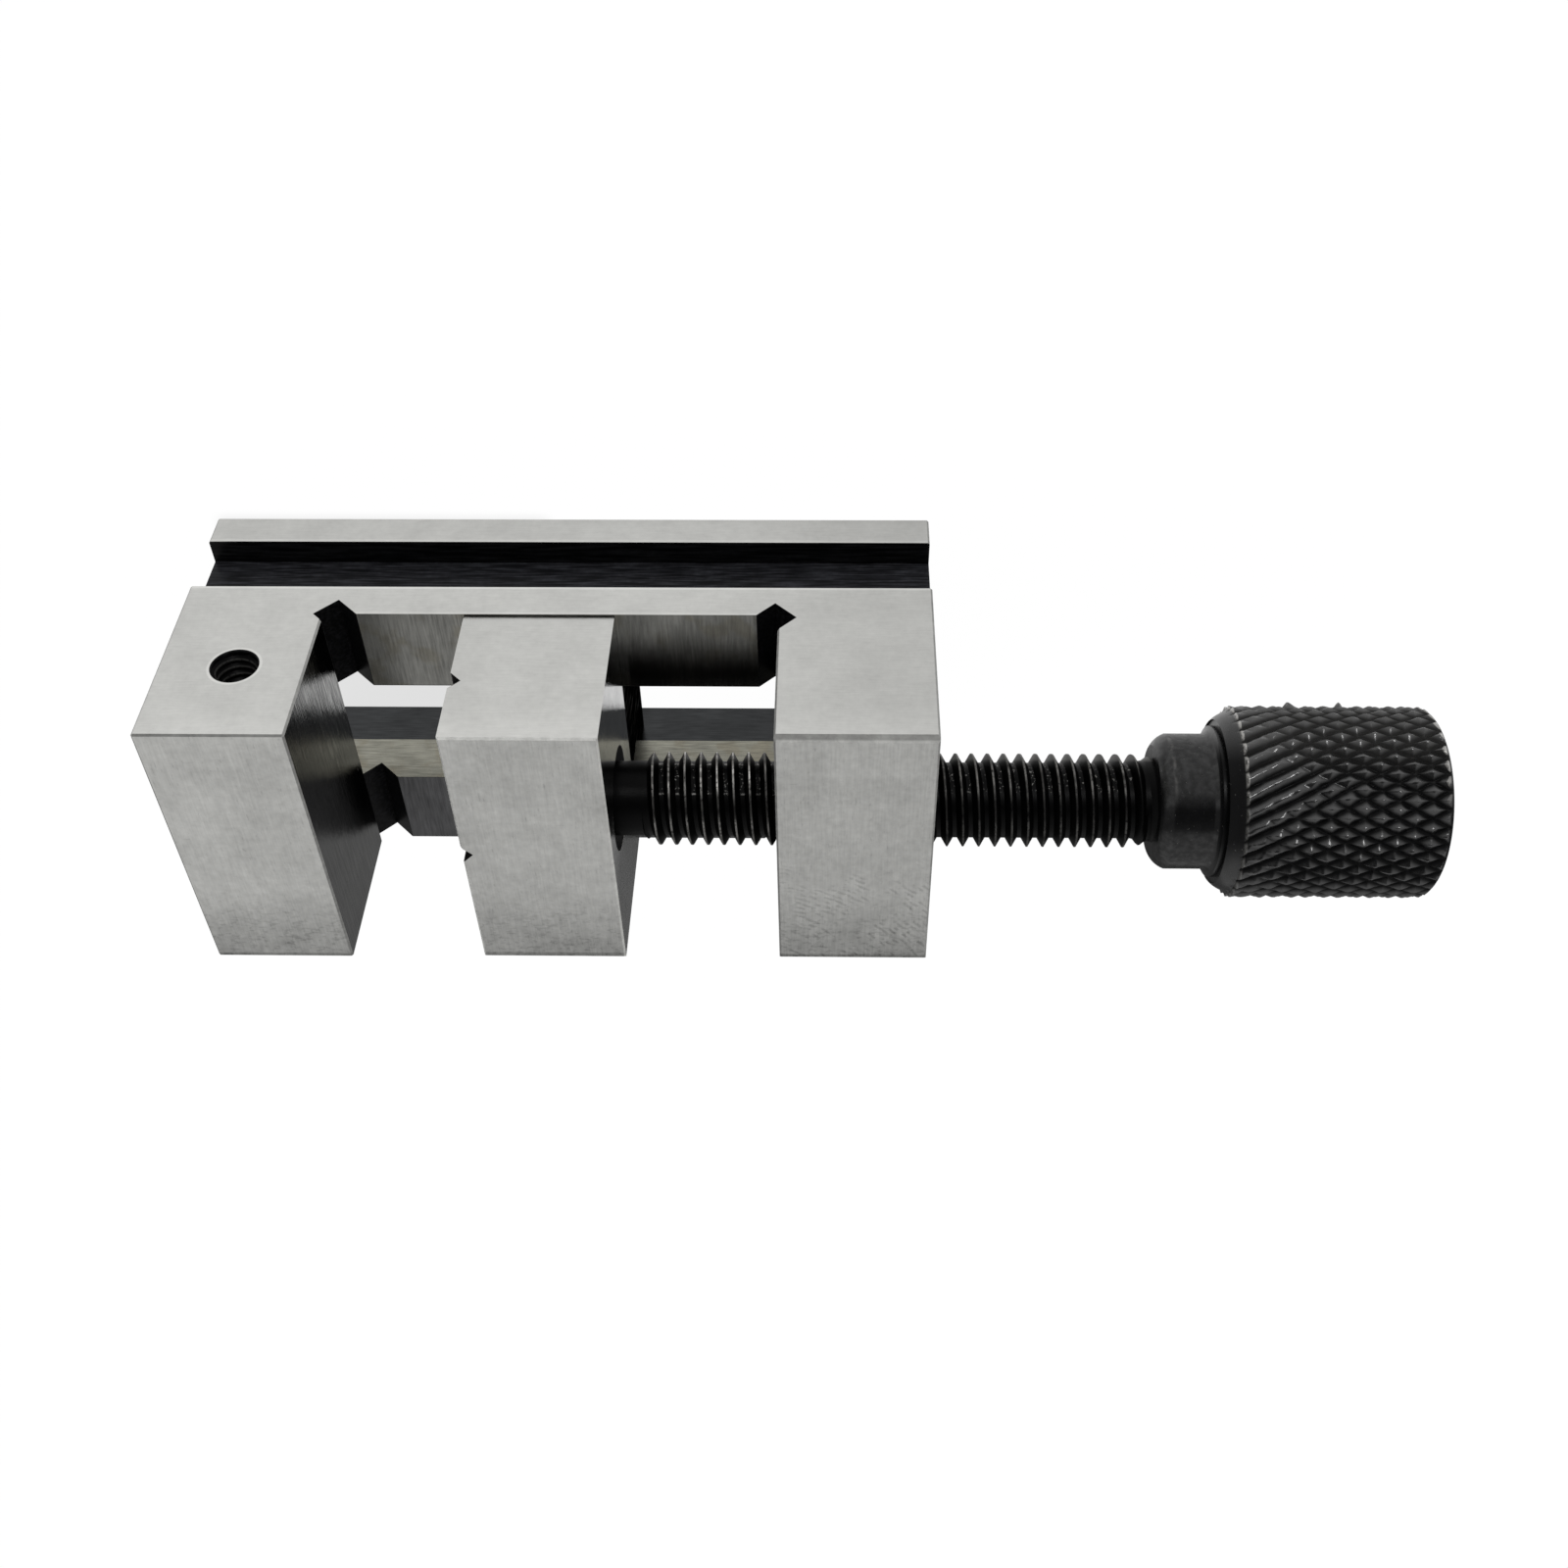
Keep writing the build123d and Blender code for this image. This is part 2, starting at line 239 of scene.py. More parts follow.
class VISE_OT_spindle(bpy.types.Operator):
    """Builds the screw's tip, neck and thread"""
    bl_idname = "vise.spindle"
    bl_label = "Spindle"

    POINTS_PER_TURN = 96
    # How much of the neck is swept with the thread, in pitches, which also sets where the crests stand
    LEAD_IN = 0.26
    # The run-out at the collar: its length, its slope's length, and what crests lose and roots gain there
    RUN_OUT, SLOPE, CREST_LOSS, ROOT_GAIN = 1.6 * MM, 0.7 * MM, 0.2 * MM, 0.22 * MM
    INSIDE_COLLAR = 0.15 * MM

    def execute(self, context):
        s = context.scene.vise_spindle
        depth = s.crest_radius - s.root_radius
        flank = depth * tan(radians(30))
        root_flat = s.pitch - 2 * flank - s.crest_flat
        thread_start = JAW_HIGH.x + s.neck_length
        left, right = thread_start - self.LEAD_IN * s.pitch, thread_start + s.thread_length

        bm = bmesh.new()
        middle = (s.root_radius + s.crest_radius) / 2
        shape = [
            (0, s.root_radius), (root_flat / 2, s.root_radius), (root_flat, s.root_radius),
            (root_flat + flank / 2, middle), (root_flat + flank, s.crest_radius),
            (root_flat + flank + s.crest_flat, s.crest_radius),
            (root_flat + 1.5 * flank + s.crest_flat, middle),
        ]
        count = ceil((right - left) / s.pitch) + 2
        # The section reaches past both ends, because the sweep moves it on by a pitch, and is cut afterwards
        points = [(left + (turn - 1.5) * s.pitch + x, radius)
                  for turn in range(count) for x, radius in shape]
        points.append((left + (count - 1.5) * s.pitch, s.root_radius))
        sweep(bm, section(bm, points), self.POINTS_PER_TURN, s.pitch)
        cut_across(bm, left, keep=1)
        cut_across(bm, right, keep=-1)
        cut_across(bm, thread_start)
        cut_across(bm, thread_start + depth)
        run_out = right - self.RUN_OUT
        cut_across(bm, run_out)
        cut_across(bm, run_out + self.SLOPE)
        for vertex in bm.verts:
            x, y, z = vertex.co
            ended = clamp((x - run_out) / self.SLOPE, 0, 1)
            low = s.root_radius + self.ROOT_GAIN * ended
            high = clamp(s.root_radius + x - thread_start, low, s.crest_radius - self.CREST_LOSS * ended)
            set_radius(vertex, clamp(hypot(y, z), low, high))

        groove = JAW_HIGH.x - s.groove_from_jaw
        groove_end, groove_start = groove + s.groove_width / 2, groove - s.groove_width / 2
        extend(bm, open_ring(bm, left), [
            (groove_end, s.root_radius), (groove_end, s.groove_radius),
            (groove_start, s.groove_radius), (groove_start, s.root_radius),
            (SCREW_LOW.x + s.tip_chamfer, s.root_radius), (SCREW_LOW.x, s.root_radius - s.tip_chamfer),
        ])
        extend(bm, open_ring(bm, right), [(right + self.INSIDE_COLLAR, s.root_radius)])
        bmesh.ops.remove_doubles(bm, verts=bm.verts[:], dist=WELD)
        moved_to_axis(bm)
        spindle = add_piece(bm, "spindle", "screw", blackened_thread(), radians(25))
        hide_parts("lead_screw")
        return {"FINISHED"}


class VISE_OT_knob(bpy.types.Operator):
    """Builds the collar and the knurled knob with its hexagon socket"""
    bl_idname = "vise.knob"
    bl_label = "Knob"

    POINTS_PER_START = 18
    RINGS_PER_DIAMOND = 16
    # How far arcs of the outline bulge: collar's front edge, its fillet to the knob, knob's front and end
    COLLAR_BULGE, FILLET_BULGE, FRONT_BULGE, END_BULGE = 0.13 * MM, -0.1 * MM, 0.36 * MM, 0.12 * MM
    FILLET_LENGTH = 0.35 * MM
    # From the collar in to the floor of the ring groove in the knob's front
    RING_DEPTH = 0.7 * MM
    # Length of the step from the knob's front up to the first crests
    STEP = 0.1 * MM
    # Share of a knurl ridge's half-width that its flat crest takes
    FLAT = 0.12
    # Where round the knob, from its top, the second hand of the knurl starts late, and how far that spreads
    LATE_PLACE, LATE_SPREAD = radians(56), radians(24)
    # Places of burrs on the knurling, from its start along the axis and round it from the top
    BURRS = ((4.7 * MM, radians(133)), (8.65 * MM, radians(133)))
    BURR_HEIGHT, BURR_WIDTH = 0.3 * MM, 0.35 * MM

    def execute(self, context):
        k = context.scene.vise_knob
        spindle = context.scene.vise_spindle
        end = SCREW_HIGH.x
        radius = SCREW_HIGH.z - SCREW_AXIS
        root = radius - k.knurl_depth
        start = JAW_HIGH.x + spindle.neck_length + spindle.thread_length
        collar_end = start + k.collar_length
        grip_start, grip_end = collar_end + k.front_length, end - k.end_rounding
        diamond = 2 * pi * radius / k.starts / tan(k.knurl_angle)
        rings = round((grip_end - grip_start) / diamond * self.RINGS_PER_DIAMOND)
        mouth = k.socket_flats / 3 ** 0.5 + k.socket_chamfer
        bottom = end - k.socket_depth

        bm = bmesh.new()
        front = arc((collar_end, k.collar_radius), (grip_start, root), self.FRONT_BULGE, 12)
        ring_inner, ring_outer = front[2], front[5]
        ring_floor = collar_end + self.RING_DEPTH
        grip_length = grip_end - grip_start - self.STEP
        hexagon = k.socket_flats / 2
        collar_edge = (start, k.collar_radius - k.collar_front_drop)
        fillet_start = (collar_end - self.FILLET_LENGTH, k.collar_radius)
        points = [
            (start, 0), collar_edge,
            *arc(collar_edge, (start + k.collar_front_length, k.collar_radius), self.COLLAR_BULGE, 6),
            fillet_start, *arc(fillet_start, ring_inner, self.FILLET_BULGE, 6),
            (ring_floor, ring_inner[1]), (ring_floor, ring_outer[1]), *front[5:],
            *((grip_end - grip_length * (rings - n) / rings, radius) for n in range(rings + 1)),
            *arc((grip_end, radius), (end, radius - k.end_rounding), self.END_BULGE, 8),
            (end, mouth), (end - k.socket_chamfer, hexagon), (bottom, hexagon * 0.999), (bottom, 0),
        ]
        sweep(bm, section(bm, points), k.starts * self.POINTS_PER_START)
        for vertex in bm.verts:
            x, y, z = vertex.co
            around, from_axis = atan2(y, z), hypot(y, z)
            if from_axis < WELD:
                continue
            if x > bottom - WELD and abs(from_axis - hexagon) < 0.01 * MM:
                # The socket's wall, moved out from a circle to the hexagon
                wall = hexagon / cos((around + pi / 6) % (pi / 3) - pi / 6)
                set_radius(vertex, wall)
                if x > bottom + WELD:
                    vertex.co.x = end - (mouth - wall)
            elif x > grip_start - WELD and from_axis > radius - k.end_rounding:
                # The grip, knurled and roughened, with its burrs
                along = x - grip_start
                cut = radius - k.knurl_depth * self.groove(k, along, around, diamond)
                surface = min(cut + self.roughness(along, around), from_axis + self.STEP)
                raised = self.raised(along, around, radius)
                set_radius(vertex, surface + (radius + self.BURR_HEIGHT - surface) * raised)
        moved_to_axis(bm)
        add_piece(bm, "knob", "screw", knurled_black(), radians(28))
        return {"FINISHED"}

    def groove(self, k, along, around, diamond):
        """Share of the knurl's depth at a place: 0 on a crest and 1 at the bottom of a groove. The second
        hand is shallow near the knob's front."""
        wander = noise.noise(Vector((along / (4 * MM), cos(around) * 2, sin(around) * 2)))
        turn = around * k.starts / (2 * pi) + wander * 0.12
        first = abs(2 * ((turn - along / diamond) % 1) - 1)
        second = abs(2 * ((turn + along / diamond) % 1) - 1)
        late = exp(-((around - self.LATE_PLACE) / self.LATE_SPREAD) ** 2)
        settled = clamp(0.3 + along / (6 * MM) - 0.7 * late + wander * 0.3, 0.08, 1)
        first = max(0, first - self.FLAT) / (1 - self.FLAT)
        second = max(0, second - self.FLAT) / (1 - self.FLAT) * settled
        return max(first, second)

    def roughness(self, along, around):
        """Roughness that the rolled knurl leaves on its crests."""
        return noise.noise(Vector((along / (0.5 * MM), cos(around) * 16, sin(around) * 16))) * 0.04 * MM

    def raised(self, along, around, radius):
        """Share of a burr's height at a place."""
        return sum(exp(-((along - place) ** 2 + (radius * (around - angle)) ** 2) / self.BURR_WIDTH ** 2)
                   for place, angle in self.BURRS)


class VISE_OT_stop_thread(bpy.types.Operator):
    """Builds the thread in the fixed jaw's side hole"""
    bl_idname = "vise.stop_thread"
    bl_label = "Stop Thread"

    POINTS_PER_TURN = 48
    # Half-widths of the ridge at the wall and at its crest, in pitches
    RIDGE, CREST = 0.42, 0.08
    # From the hole's mouth in to the thread's start
    SUNK = 0.12 * MM

    def execute(self, context):
        t = context.scene.vise_stop_thread
        half, crest = t.pitch * self.RIDGE, t.pitch * self.CREST
        bm = bmesh.new()
        ridge = section(bm, [(-half, t.wall_radius), (-crest, t.crest_radius), (crest, t.crest_radius),
                             (half, t.wall_radius)], closed=True)
        sweep(bm, ridge, self.POINTS_PER_TURN, t.pitch, t.turns)
        bmesh.ops.holes_fill(bm, edges=[edge for edge in bm.edges if edge.is_boundary])
        x, _, z = STOP_HOLE["pos_m"]
        start = BODY_HIGH.y - half - self.SUNK
        bmesh.ops.transform(bm, verts=bm.verts[:], matrix=Matrix.Translation((x, start, z))
                            @ Matrix.Rotation(pi / 2, 4, "Z")
                            @ Matrix.Translation((-t.turns * t.pitch, 0, 0)))
        add_piece(bm, "stop_hole_thread", "base", tapped_black(), radians(40))
        return {"FINISHED"}


class Value:
    """One output of a shader node, which takes part in Python expressions."""

    def __init__(self, nodes, socket):
        self.nodes, self.socket = nodes, socket

    def math(self, operation, *others):
        """The result of a Math node on this value and others."""
        return self.nodes.add("Math", {"operation": operation}, dict(enumerate((self, *others))))

    def __add__(self, other):
        return self.math("ADD", other)

    def __sub__(self, other):
        return self.math("SUBTRACT", other)

    def __mul__(self, other):
        return self.math("MULTIPLY", other)

    __radd__ = __add__
    __rmul__ = __mul__

    def __rsub__(self, other):
        return self.nodes.add("Math", {"operation": "SUBTRACT"}, {0: other, 1: self})

    def __abs__(self):
        return self.math("ABSOLUTE")

    def __or__(self, other):
        return self.math("MAXIMUM", other)

    def above(self, edge, soft=0.02):
        """0 below the edge and 1 above it, with a soft step between."""
        return self.nodes.add("MapRange", {"interpolation_type": "SMOOTHSTEP"},
                              {0: self, 1: edge - soft, 2: edge + soft, 3: 0.0, 4: 1.0})

    def below(self, edge, soft=0.02):
        """1 below the edge and 0 above it."""
        return 1 - self.above(edge, soft)

    def between(self, low, high, soft=0.02):
        """1 between two edges and 0 outside them."""
        return self.above(low, soft) * self.below(high, soft)

    def hypot(self, other):
        """Distance from two numbers at right angles."""
        return (self * self + other * other).math("SQRT")


class Nodes:
    """The node tree of a material or of the world."""

    def __init__(self, tree):
        self.tree = tree
        tree.nodes.clear()

    def add(self, kind, settings=None, inputs=None, output=0):
        """Adds any shader node, with its settings first and then its inputs' values or links."""
        node = self.tree.nodes.new("ShaderNode" + kind)
        for name, value in (settings or {}).items():
            setattr(node, name, value)
        for key, value in (inputs or {}).items():
            if isinstance(value, Value):
                self.tree.links.new(value.socket, node.inputs[key])
            else:
                node.inputs[key].default_value = value
        return Value(self, node.outputs[output])

    def dot(self, vector, by):
        """The dot product of two vectors, as a number."""
        return self.add("VectorMath", {"operation": "DOT_PRODUCT"}, {0: vector, 1: by}, "Value")

    def vector(self, operation, vector, by):
        """The vector that a Vector Math node makes of two others."""
        return self.add("VectorMath", {"operation": operation}, {0: vector, 1: by})

    def separate(self, vector):
        """The three numbers of a vector."""
        first = self.add("SeparateXYZ", inputs={0: vector})
        return [Value(self, output) for output in first.socket.node.outputs]

    def mix(self, factor, a, b):
        """A colour between two others."""
        made = {0: factor}
        for index, value in ((6, a), (7, b)):
            made[index] = value if isinstance(value, Value) else (*value, 1)
        return self.add("Mix", {"data_type": "RGBA"}, made, 2)

    def finish(self, kind, shader):
        """Links the shader to the tree's output node."""
        node = self.tree.nodes.new("ShaderNode" + kind)
        self.tree.links.new(shader.socket, node.inputs["Surface"])

    def noise(self, vector, scale, detail=3.0, roughness=0.5):
        """A cloudy noise from about 0 to 1, as coarse as 1 / scale."""
        return self.add("TexNoise", inputs={
            "Vector": vector, "Scale": scale, "Detail": detail, "Roughness": roughness})


class Finish(Nodes):
    """A material, with its coordinates in millimetres in the CAD model's frame."""

    # The film of oil that a coat stands for
    COAT_IOR, COAT_ROUGHNESS = 1.8, 0.25

    def __init__(self, name):
        self.material = bpy.data.materials.new(name)
        self.material.use_nodes = True
        super().__init__(self.material.node_tree)
        coordinates = self.add("TexCoord", output="Object")
        self.place = self.vector("MULTIPLY", coordinates, (1 / MM,) * 3)
        self.x, self.y, self.z = self.separate(self.place)
        normal = self.separate(Value(self, coordinates.socket.node.outputs["Normal"]))
        self.facing = [abs(part).above(0.9, 0.05) for part in normal]
        self.edge = (abs(normal[0]) | abs(normal[1]) | abs(normal[2])).below(0.85, 0.05)

    def from_axis(self):
        """Distance from the screw's axis."""
        return self.y.hypot(self.z - SCREW_AXIS / MM)

    def from_stop_hole(self):
        """Distance from the axis of the side hole."""
        x, _, z = STOP_HOLE["pos_m"]
        return (self.x - x / MM).hypot(self.z - z / MM)

    def stretched(self, across, along, direction, detail=3.0):
        """Noise drawn out along one direction, from sizes in millimetres."""
        size = [1 / across] * 3
        size["xyz".index(direction)] = 1 / along
        return self.noise(self.vector("MULTIPLY", self.place, size), 1.0, detail)

    def surface(self, colour, roughness, metallic, height=0.0, specular=0.5, coat=0.0):
        """The shader, with its bump from a height in millimetres."""
        inputs = {"Base Color": colour, "Roughness": roughness, "Metallic": metallic,
                  "Specular IOR Level": specular, "Coat Weight": coat, "Coat IOR": self.COAT_IOR,
                  "Coat Roughness": self.COAT_ROUGHNESS,
                  "Normal": self.add("Bump", inputs={"Height": height, "Distance": MM})}
        self.finish("OutputMaterial", self.add("BsdfPrincipled", inputs=inputs))
        return self.material


def finishes():
    """The colours that a user can change."""
    return bpy.context.scene.vise_finish


def scaled(f, colour, shade):
    """A colour made darker or lighter."""
    return f.add("VectorMath", {"operation": "SCALE"}, {0: tuple(colour), "Scale": shade})


def ground_steel(name, smoother_places, black_places, edge_shade, painted_highlights=None):
    """Surface-ground steel: marks along the wheel's path, smoother inner faces, and black in the slots and
    grooves that the wheel didn't reach."""
    f = Finish(name)
    face_x, face_y, face_z = f.facing
    lines = (face_z * f.stretched(0.13, 2.2, "y") + face_y * f.stretched(0.12, 1.8, "x")
             + face_x * f.stretched(0.14, 2.6, "y"))
    cloud = f.noise(f.place, 0.3, 4)
    mottle = f.noise(f.place, 1.5, 5, 0.6)
    dashes = f.stretched(0.16, 0.8, "y").above(0.68, 0.04) + f.stretched(0.12, 1.1, "x").above(0.72, 0.03)
    line_depth = 0.5 * face_x + 0.18 * face_y + 0.32 * face_z
    marks = (0.45 - 0.2 * face_y) * (cloud + mottle - 1) + line_depth * (lines - 0.5) \
        + face_z * (swirls(f, cloud) - 0.14 * dents(f))
    # Painted light and shade: the Y-facing sides lighter towards their top and a little darker overall,
    # painted highlights where given, the tops painted darker towards -Y, and broken edges painted by
    # edge_shade
    painted_top_light = 0.1 * face_y * f.z.above(BODY_HIGH.z / MM - 2, 2)
    bright = painted_top_light + 0.2 * painted_highlights(f) if painted_highlights else painted_top_light
    shade = (1 + marks - dashes * (0.16 - 0.1 * face_y) - 0.03 * face_y - painted_far_shade(f) + bright) \
        * (1 - (1 - edge_shade(f, mottle)) * f.edge)
    colour = scaled(f, finishes().ground, shade)
    smooth = gloss = 0.0
    for mask, tint, polish in smoother_places(f):
        colour = f.mix(mask, colour, scaled(f, tint, 1 + 1.2 * (lines - 0.5) + 0.8 * (cloud - 0.5)))
        smooth, gloss = mask | smooth, mask * polish | gloss
    black = 0.0
    streaks = f.stretched(0.2, 3.2, "x", 5).above(0.52, 0.13)
    for mask, tint in black_places(f):
        colour = f.mix(mask, colour, scaled(f, tint, 0.25 + 0.3 * cloud + 3.0 * streaks * mottle))
        black = mask | black
    roughness = (0.3 + 0.1 * mottle + 0.18 * f.edge - gloss) * (1 - black) + 0.36 * black
    height = (0.002 * lines + 0.0012 * mottle) * (1 - 0.9 * smooth) + 0.025 * face_x * lines * smooth
    return f.surface(colour, roughness, 1 - black, height, specular=0.08)


def dents(f):
    """Small dents on the blocks' tops, more of them towards -Y."""
    return f.stretched(0.3, 0.6, "x", 3).above(0.59, 0.04) * f.y.below(-6, 4)


def painted_far_shade(f):
    """Painted shade: how much darker the blocks' tops are made towards -Y, for the dimmer reflection there,
    and darker still in a line along their rim on that side.
    """
    top, far_side = f.z.above(BODY_HIGH.z / MM - 5), BODY_LOW.y / MM
    past_fixed_jaw = f.x.above(FIXED_FACE + 1)
    rim = (f.facing[2] | f.edge) * f.y.below(far_side + 0.5 + 0.3 * past_fixed_jaw, 0.06)
    return top * (0.35 * f.facing[2] * f.y.below(far_side + 4.2, 5.5) + 0.25 * rim)


def swirls(f, cloud):
    """Shade of the arcs that the cutter left in patches on the end block's top, past its middle."""
    from_centre = f.vector("ADD", f.place, (6, 20, 0))
    arcs = f.add("TexWave", {"wave_type": "RINGS", "rings_direction": "Z"},
                 {"Vector": from_centre, "Scale": 0.62, "Distortion": 3.5}, "Fac")
    patches = cloud.above(0.5, 0.06) * f.y.below(-1, 2) * f.x.above(BLOCK_FACE - 0.3)
    broken = f.noise(f.place, 1.3, 2).above(0.5, 0.06)
    return -0.2 * patches * broken * arcs.above(0.55, 0.3)


def body_smoother_places(f):
    """Inner faces of the body, each with its mask, its colour and its polish."""
    face_x, face_y, face_z = f.facing
    width = abs(f.y)
    inside = f.x.between(FIXED_FACE - 0.125, BLOCK_FACE + 0.175)
    bed = face_z * f.z.between(BED - 0.1, BED + 0.1) * inside
    wall = face_y * width.below(SLOT_NECK + 0.05) * f.z.below(BED + 0.05)
    stain = f.noise(f.place, 0.4, 3).above(0.56, 0.07)
    strokes = f.stretched(0.13, 2.5, "y", 4)
    scratched = face_x * inside * f.z.below(19.5, 2) * f.y.above(1, 2)
    return [
        # The fixed jaw's and the end block's inner faces, painted darker than the ground steel as shade for
        # what they reflect, with bright and dark strokes low down
        (face_x * inside, (0.16, 0.16, 0.157), 0.2),
        (scratched * strokes.above(0.55, 0.05) * 0.85, (0.36, 0.36, 0.35), 0.05),
        (scratched * strokes.below(0.45, 0.05) * 0.8, (0.03, 0.03, 0.03), 0.1),
        # The bed's two sides, the -Y one painted darker than the other as shade, with stains on the +Y one,
        # and a painted reflection of the black screw near the slot's edge behind the jaw
        (bed * f.y.below(0), (0.08, 0.08, 0.082), 0.15),
        (bed * f.y.above(0), (0.215, 0.214, 0.2), 0.1),
        (bed * f.y.above(0) * stain * 0.4, (0.15, 0.135, 0.095), 0.1),
        (bed * f.y.between(5, 8.2, 1.6) * f.x.above(-14), (0.035, 0.035, 0.033), 0.1),
        # The walls of the T-slot's neck, painted darker as shade for the shaded slot they reflect, with
        # stains, and of its wide part
        (wall, (0.33, 0.325, 0.275), 0.1),
        (wall * stain * 0.4, (0.24, 0.205, 0.14), 0.1),
        (face_y * width.between(SLOT_WIDTH - 0.15, SLOT_WIDTH + 0.15), (0.053, 0.055, 0.057), 0.1),
    ]


def body_edges(f, mottle):
    """Painted shade of the body's broken edges, made darker than its faces, with the end block's wide one
    lighter along its top side.
    """
    # Lighter along the end block's wide edge at its top side
    worn = f.z.above(BODY_HIGH.z / MM - 0.14, 0.06) * f.x.above(BLOCK_FACE + 0.175)
    return 0.45 + 0.36 * mottle + 0.35 * worn


def body_painted_highlights(f):
    """Painted highlights: bright lines on the body's sides, along the clamping groove and the bed, and round
    the hole, where edges catch the light.
    """
    side = f.facing[1] * abs(f.y).above(BODY_HIGH.y / MM - 0.05)
    ring = f.from_stop_hole().between(1.8, 2.05, 0.06) * f.y.above(0)
    along_bed = f.z.between(BED - 0.25, BED, 0.05) * f.x.between(-35.5, -3.5)
    above_groove = f.z.between(GROOVE_HIGH - 0.02, GROOVE_HIGH + 0.23, 0.05)
    below_groove = f.z.between(GROOVE_LOW - 0.28, GROOVE_LOW - 0.03, 0.05)
    return side * (above_groove | 0.6 * below_groove | 0.6 * along_bed | ring)


def jaw_edges(f, mottle):
    """Shade of the jaw's broken edges, which catch the light."""
    return 1.3 + 0.4 * mottle


def body_black_places(f):
    """Blackened places of the body with their colours: side grooves, corner reliefs, screw bore, side hole
    and T-slot."""
    width = abs(f.y)
    _, face_y, face_z = f.facing
    slot = width.between(SLOT_NECK, SLOT_WIDTH) * f.z.below(SLOT_HEIGHT) \
        | width.below(SLOT_NECK) * face_z * f.z.below(BED + 0.1)
    grooves = width.between(10.5, 12.67) * f.z.between(GROOVE_LOW, GROOVE_HIGH)
    diagonal = 0.5 ** 0.5
    from_fixed, from_block, from_bed = f.x - FIXED_FACE, f.x - BLOCK_FACE, f.z - BED
    across, outwards = FIXED_RELIEF
    fixed = ((from_fixed - from_bed) * diagonal).between(*across) \
        * ((from_fixed + from_bed) * diagonal).between(*outwards)
    across, outwards = BLOCK_RELIEF
    block = ((from_block + from_bed) * diagonal).between(*across) \
        * ((from_bed - from_block) * diagonal).between(*outwards)
    bore = f.from_axis().below(BORE_REACH) * f.x.above(BLOCK_FACE + 0.02)
    hole = f.from_stop_hole().below(1.84, 0.01) * f.y.above(0)
    return [
        (slot | grooves | fixed | block | bore | hole, finishes().black),
        # The clamping groove's back wall, with painted light along its upper edge
        (grooves * face_y, (0.019, 0.0195, 0.0225)),
        (grooves * face_y * f.z.above(GROOVE_HIGH - 0.87, 0.7), (0.04, 0.041, 0.044)),
    ]


def jaw_smoother_places(f):
    """Front and rear face of the movable jaw, with their colour and polish."""
    return [(f.facing[0], (0.45, 0.45, 0.445), 0.29)]


def jaw_black_places(f):
    """Dark places of the movable jaw with their colours: painted shade on its rear face towards -Y,
    V-grooves, bore and underside.
    """
    front, rear = JAW_LOW.x / MM, JAW_HIGH.x / MM
    behind_face = f.x - front
    upright, level = abs(f.y), abs(f.z - SCREW_AXIS / MM)
    vees = ((behind_face + upright).below(VEE_REACH) | (behind_face + level).below(VEE_REACH)) \
        * behind_face.above(0.03)
    bore = f.from_axis().below(BORE_REACH) * f.x.above(front + 3) * f.x.below(rear - 0.01, 0.005)
    # Painted shade: the rear face darker towards -Y
    painted_rear_shade = f.facing[0] * f.x.above(rear - 0.05) * f.y.below(-1, 4)
    underside = f.z.below(BED + 0.06, 0.005)
    return [(0.7 * painted_rear_shade, (0.03, 0.03, 0.03)), (vees | bore | underside, finishes().black)]


def blackened(name, wear_and_highlights, shade, specular, gloss=None, polish=1.0):
    """Black oxide, worn through to the steel where the mask says, which on the screw also paints highlights
    and glints, and oiled as far as gloss says.
    """
    f = Finish(name)
    cloud = f.noise(f.place, 0.9, 4, 0.6)
    grain = f.noise(f.place, 5.0, 4, 0.6)
    worn = wear_and_highlights(f, grain)
    dark = scaled(f, finishes().black, shade * (0.4 + 1.2 * cloud))
    colour = f.mix(worn, dark, scaled(f, finishes().worn, polish))
    roughness = 0.26 + 0.2 * grain + 0.1 * cloud - 0.06 * worn
    coat = gloss(f) if gloss else 0.0
    return f.surface(colour, roughness, 0.85 * worn, 0.005 * grain, specular, coat)


def painted_light_side(f):
    """How far a place of the screw lies towards the side on which highlights are painted, in millimetres. It
    is the upper one for the camera, and so down and towards +Y in the frame."""
    return 0.69 * f.y - 0.72 * (f.z - SCREW_AXIS / MM)


def blackened_thread():
    """The finish of the screw's spindle, worn along the thread's crests, with painted highlights: crests
    lighter on the upper side and darker across the middle, glints in the roots.
    """
    def wear_and_highlights(f, grain):
        spindle = bpy.context.scene.vise_spindle
        crest = f.from_axis().above(spindle.crest_radius / MM - 0.05, 0.03)
        root = f.from_axis().below(spindle.root_radius / MM + 0.03) * f.x.above(JAW_HIGH.x / MM + 2.5)
        up = painted_light_side(f)
        # Painted highlights and shade on the crests: lighter on the upper side, darker across the middle;
        # painted glints in the roots and a lighter top
        most = (0.35 + 0.65 * up.above(0.8, 0.6)) * (1 - 0.75 * up.between(-1.6, 0.2, 0.5))
        patches = 0.2 + 0.8 * f.noise(f.place, 0.7, 2).above(0.45, 0.15)
        outside = f.x.above(BODY_HIGH.x / MM)
        glints = root * grain.above(0.5, 0.08) * (1 - outside)
        return (crest * grain.above(0.4, 0.12) * most * patches * (1 - 0.7 * outside)
                | 0.4 * root * grain.above(0.63, 0.04) * up.between(0.6, 3.4, 0.2)
                | glints * (0.6 * up.between(2.62, 2.74, 0.05) | 0.4 * up.between(0.3, 0.42, 0.05))
                | 0.16 * up.above(3.1, 0.15))
    return blackened("blackened_thread", wear_and_highlights, 0.2, 0.08, polish=1.7)


